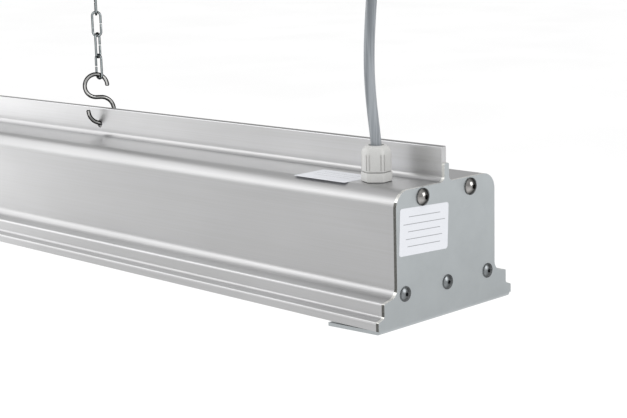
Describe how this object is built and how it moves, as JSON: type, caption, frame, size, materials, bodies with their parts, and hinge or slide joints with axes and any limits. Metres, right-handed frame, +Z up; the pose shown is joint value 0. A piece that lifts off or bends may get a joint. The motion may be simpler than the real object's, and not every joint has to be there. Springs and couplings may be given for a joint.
{
  "type": "hanging shop light",
  "caption": "Long extruded linear shop light that hangs on two link chains with S-hooks through a top fin, with bolted end plates, a cable gland and a supply cable.",
  "frame": {"origin": "on the ceiling plane, midway between the two chains' lines", "axes": "+X along the lamp towards the end with the cable gland, +Z up; the lamp hangs below the origin"},
  "size_m": [1.2088, 0.14, 0.2763],
  "materials": {
    "anodised_aluminium": "brushed along its length, clear anodised",
    "galvanised_sheet": "satin, zinc coated",
    "polished_steel": "polished",
    "zinc_steel": "bright zinc plated",
    "clear_cover": "clear, smooth",
    "black_rubber": "matte",
    "white_board": "white solder mask",
    "phosphor": "yellow phosphor",
    "grey_case": "satin",
    "dark_plastic": "matte",
    "cream_plastic": "matte",
    "brass": "satin",
    "wire_cover": "smooth insulation",
    "grey_nylon": "satin, moulded",
    "cable_sheath": "smooth sheath",
    "white_plastic": "satin, moulded"
  },
  "bodies": {
    "ceiling_fittings": {"ceiling_hook_right": "zinc_steel", "ceiling_hook_left": "zinc_steel", "ceiling_outlet": "white_plastic"},
    "top_link_right": {"top_link_right": "zinc_steel"},
    "chain_right": {"chain_link_2_right": "zinc_steel", "chain_link_3_right": "zinc_steel", "chain_link_4_right": "zinc_steel", "s_hook_right": "polished_steel"},
    "lamp": {"housing_profile": "anodised_aluminium", "end_plate_right": "galvanised_sheet", "end_plate_left": "galvanised_sheet", "upper_screws_right": "polished_steel", "upper_screws_left": "polished_steel", "lower_screws_right": "polished_steel", "lower_screws_left": "polished_steel", "cover_pane": "clear_cover", "cover_seals": "black_rubber", "light_boards": "white_board", "light_chips": "phosphor", "board_screws": "zinc_steel", "driver_case": "grey_case", "driver_end_caps": "dark_plastic", "driver_screws": "zinc_steel", "terminal_block": "cream_plastic", "terminal_screws": "brass", "earth_screw": "brass", "supply_wires": "wire_cover", "driver_wires": "wire_cover", "output_wires": "wire_cover", "wire_grommet": "black_rubber", "gland_body": "grey_nylon", "gland_washer": "black_rubber", "gland_locknut": "grey_nylon", "gland_seal": "black_rubber", "gland_dome_nut": "grey_nylon", "cable_tail": "cable_sheath", "power_cable": "cable_sheath"},
    "top_link_left": {"top_link_left": "zinc_steel"},
    "chain_left": {"chain_link_2_left": "zinc_steel", "chain_link_3_left": "zinc_steel", "chain_link_4_left": "zinc_steel", "s_hook_left": "polished_steel"}
  },
  "joints": [
    {"name": "side_swing", "type": "hinge", "parent": "ceiling_fittings", "child": "top_link_right", "pos_m": [0.214, 0, -0.03454], "axis": [1, 0, 0], "range_deg": [-8, 8]},
    {"name": "long_swing", "type": "hinge", "parent": "top_link_right", "child": "chain_right", "pos_m": [0.214, 0, -0.05249], "axis": [0, 1, 0], "range_deg": [-6, 6]},
    {"name": "lamp_level", "type": "hinge", "parent": "chain_right", "child": "lamp", "pos_m": [0.214, 0, -0.14658], "axis": [0, 1, 0], "range_deg": [-6, 6]},
    {"name": "side_swing_left", "type": "hinge", "parent": "ceiling_fittings", "child": "top_link_left", "pos_m": [-0.214, 0, -0.03454], "axis": [1, 0, 0], "range_deg": [-8, 8]},
    {"name": "long_swing_left", "type": "hinge", "parent": "top_link_left", "child": "chain_left", "pos_m": [-0.214, 0, -0.05249], "axis": [0, 1, 0], "range_deg": [-6, 6]}
  ],
  "couplings": [
    {"joint": "lamp_level", "follows": "long_swing", "ratio": -1},
    {"joint": "side_swing_left", "follows": "side_swing", "ratio": 1},
    {"joint": "long_swing_left", "follows": "long_swing", "ratio": 1}
  ]
}
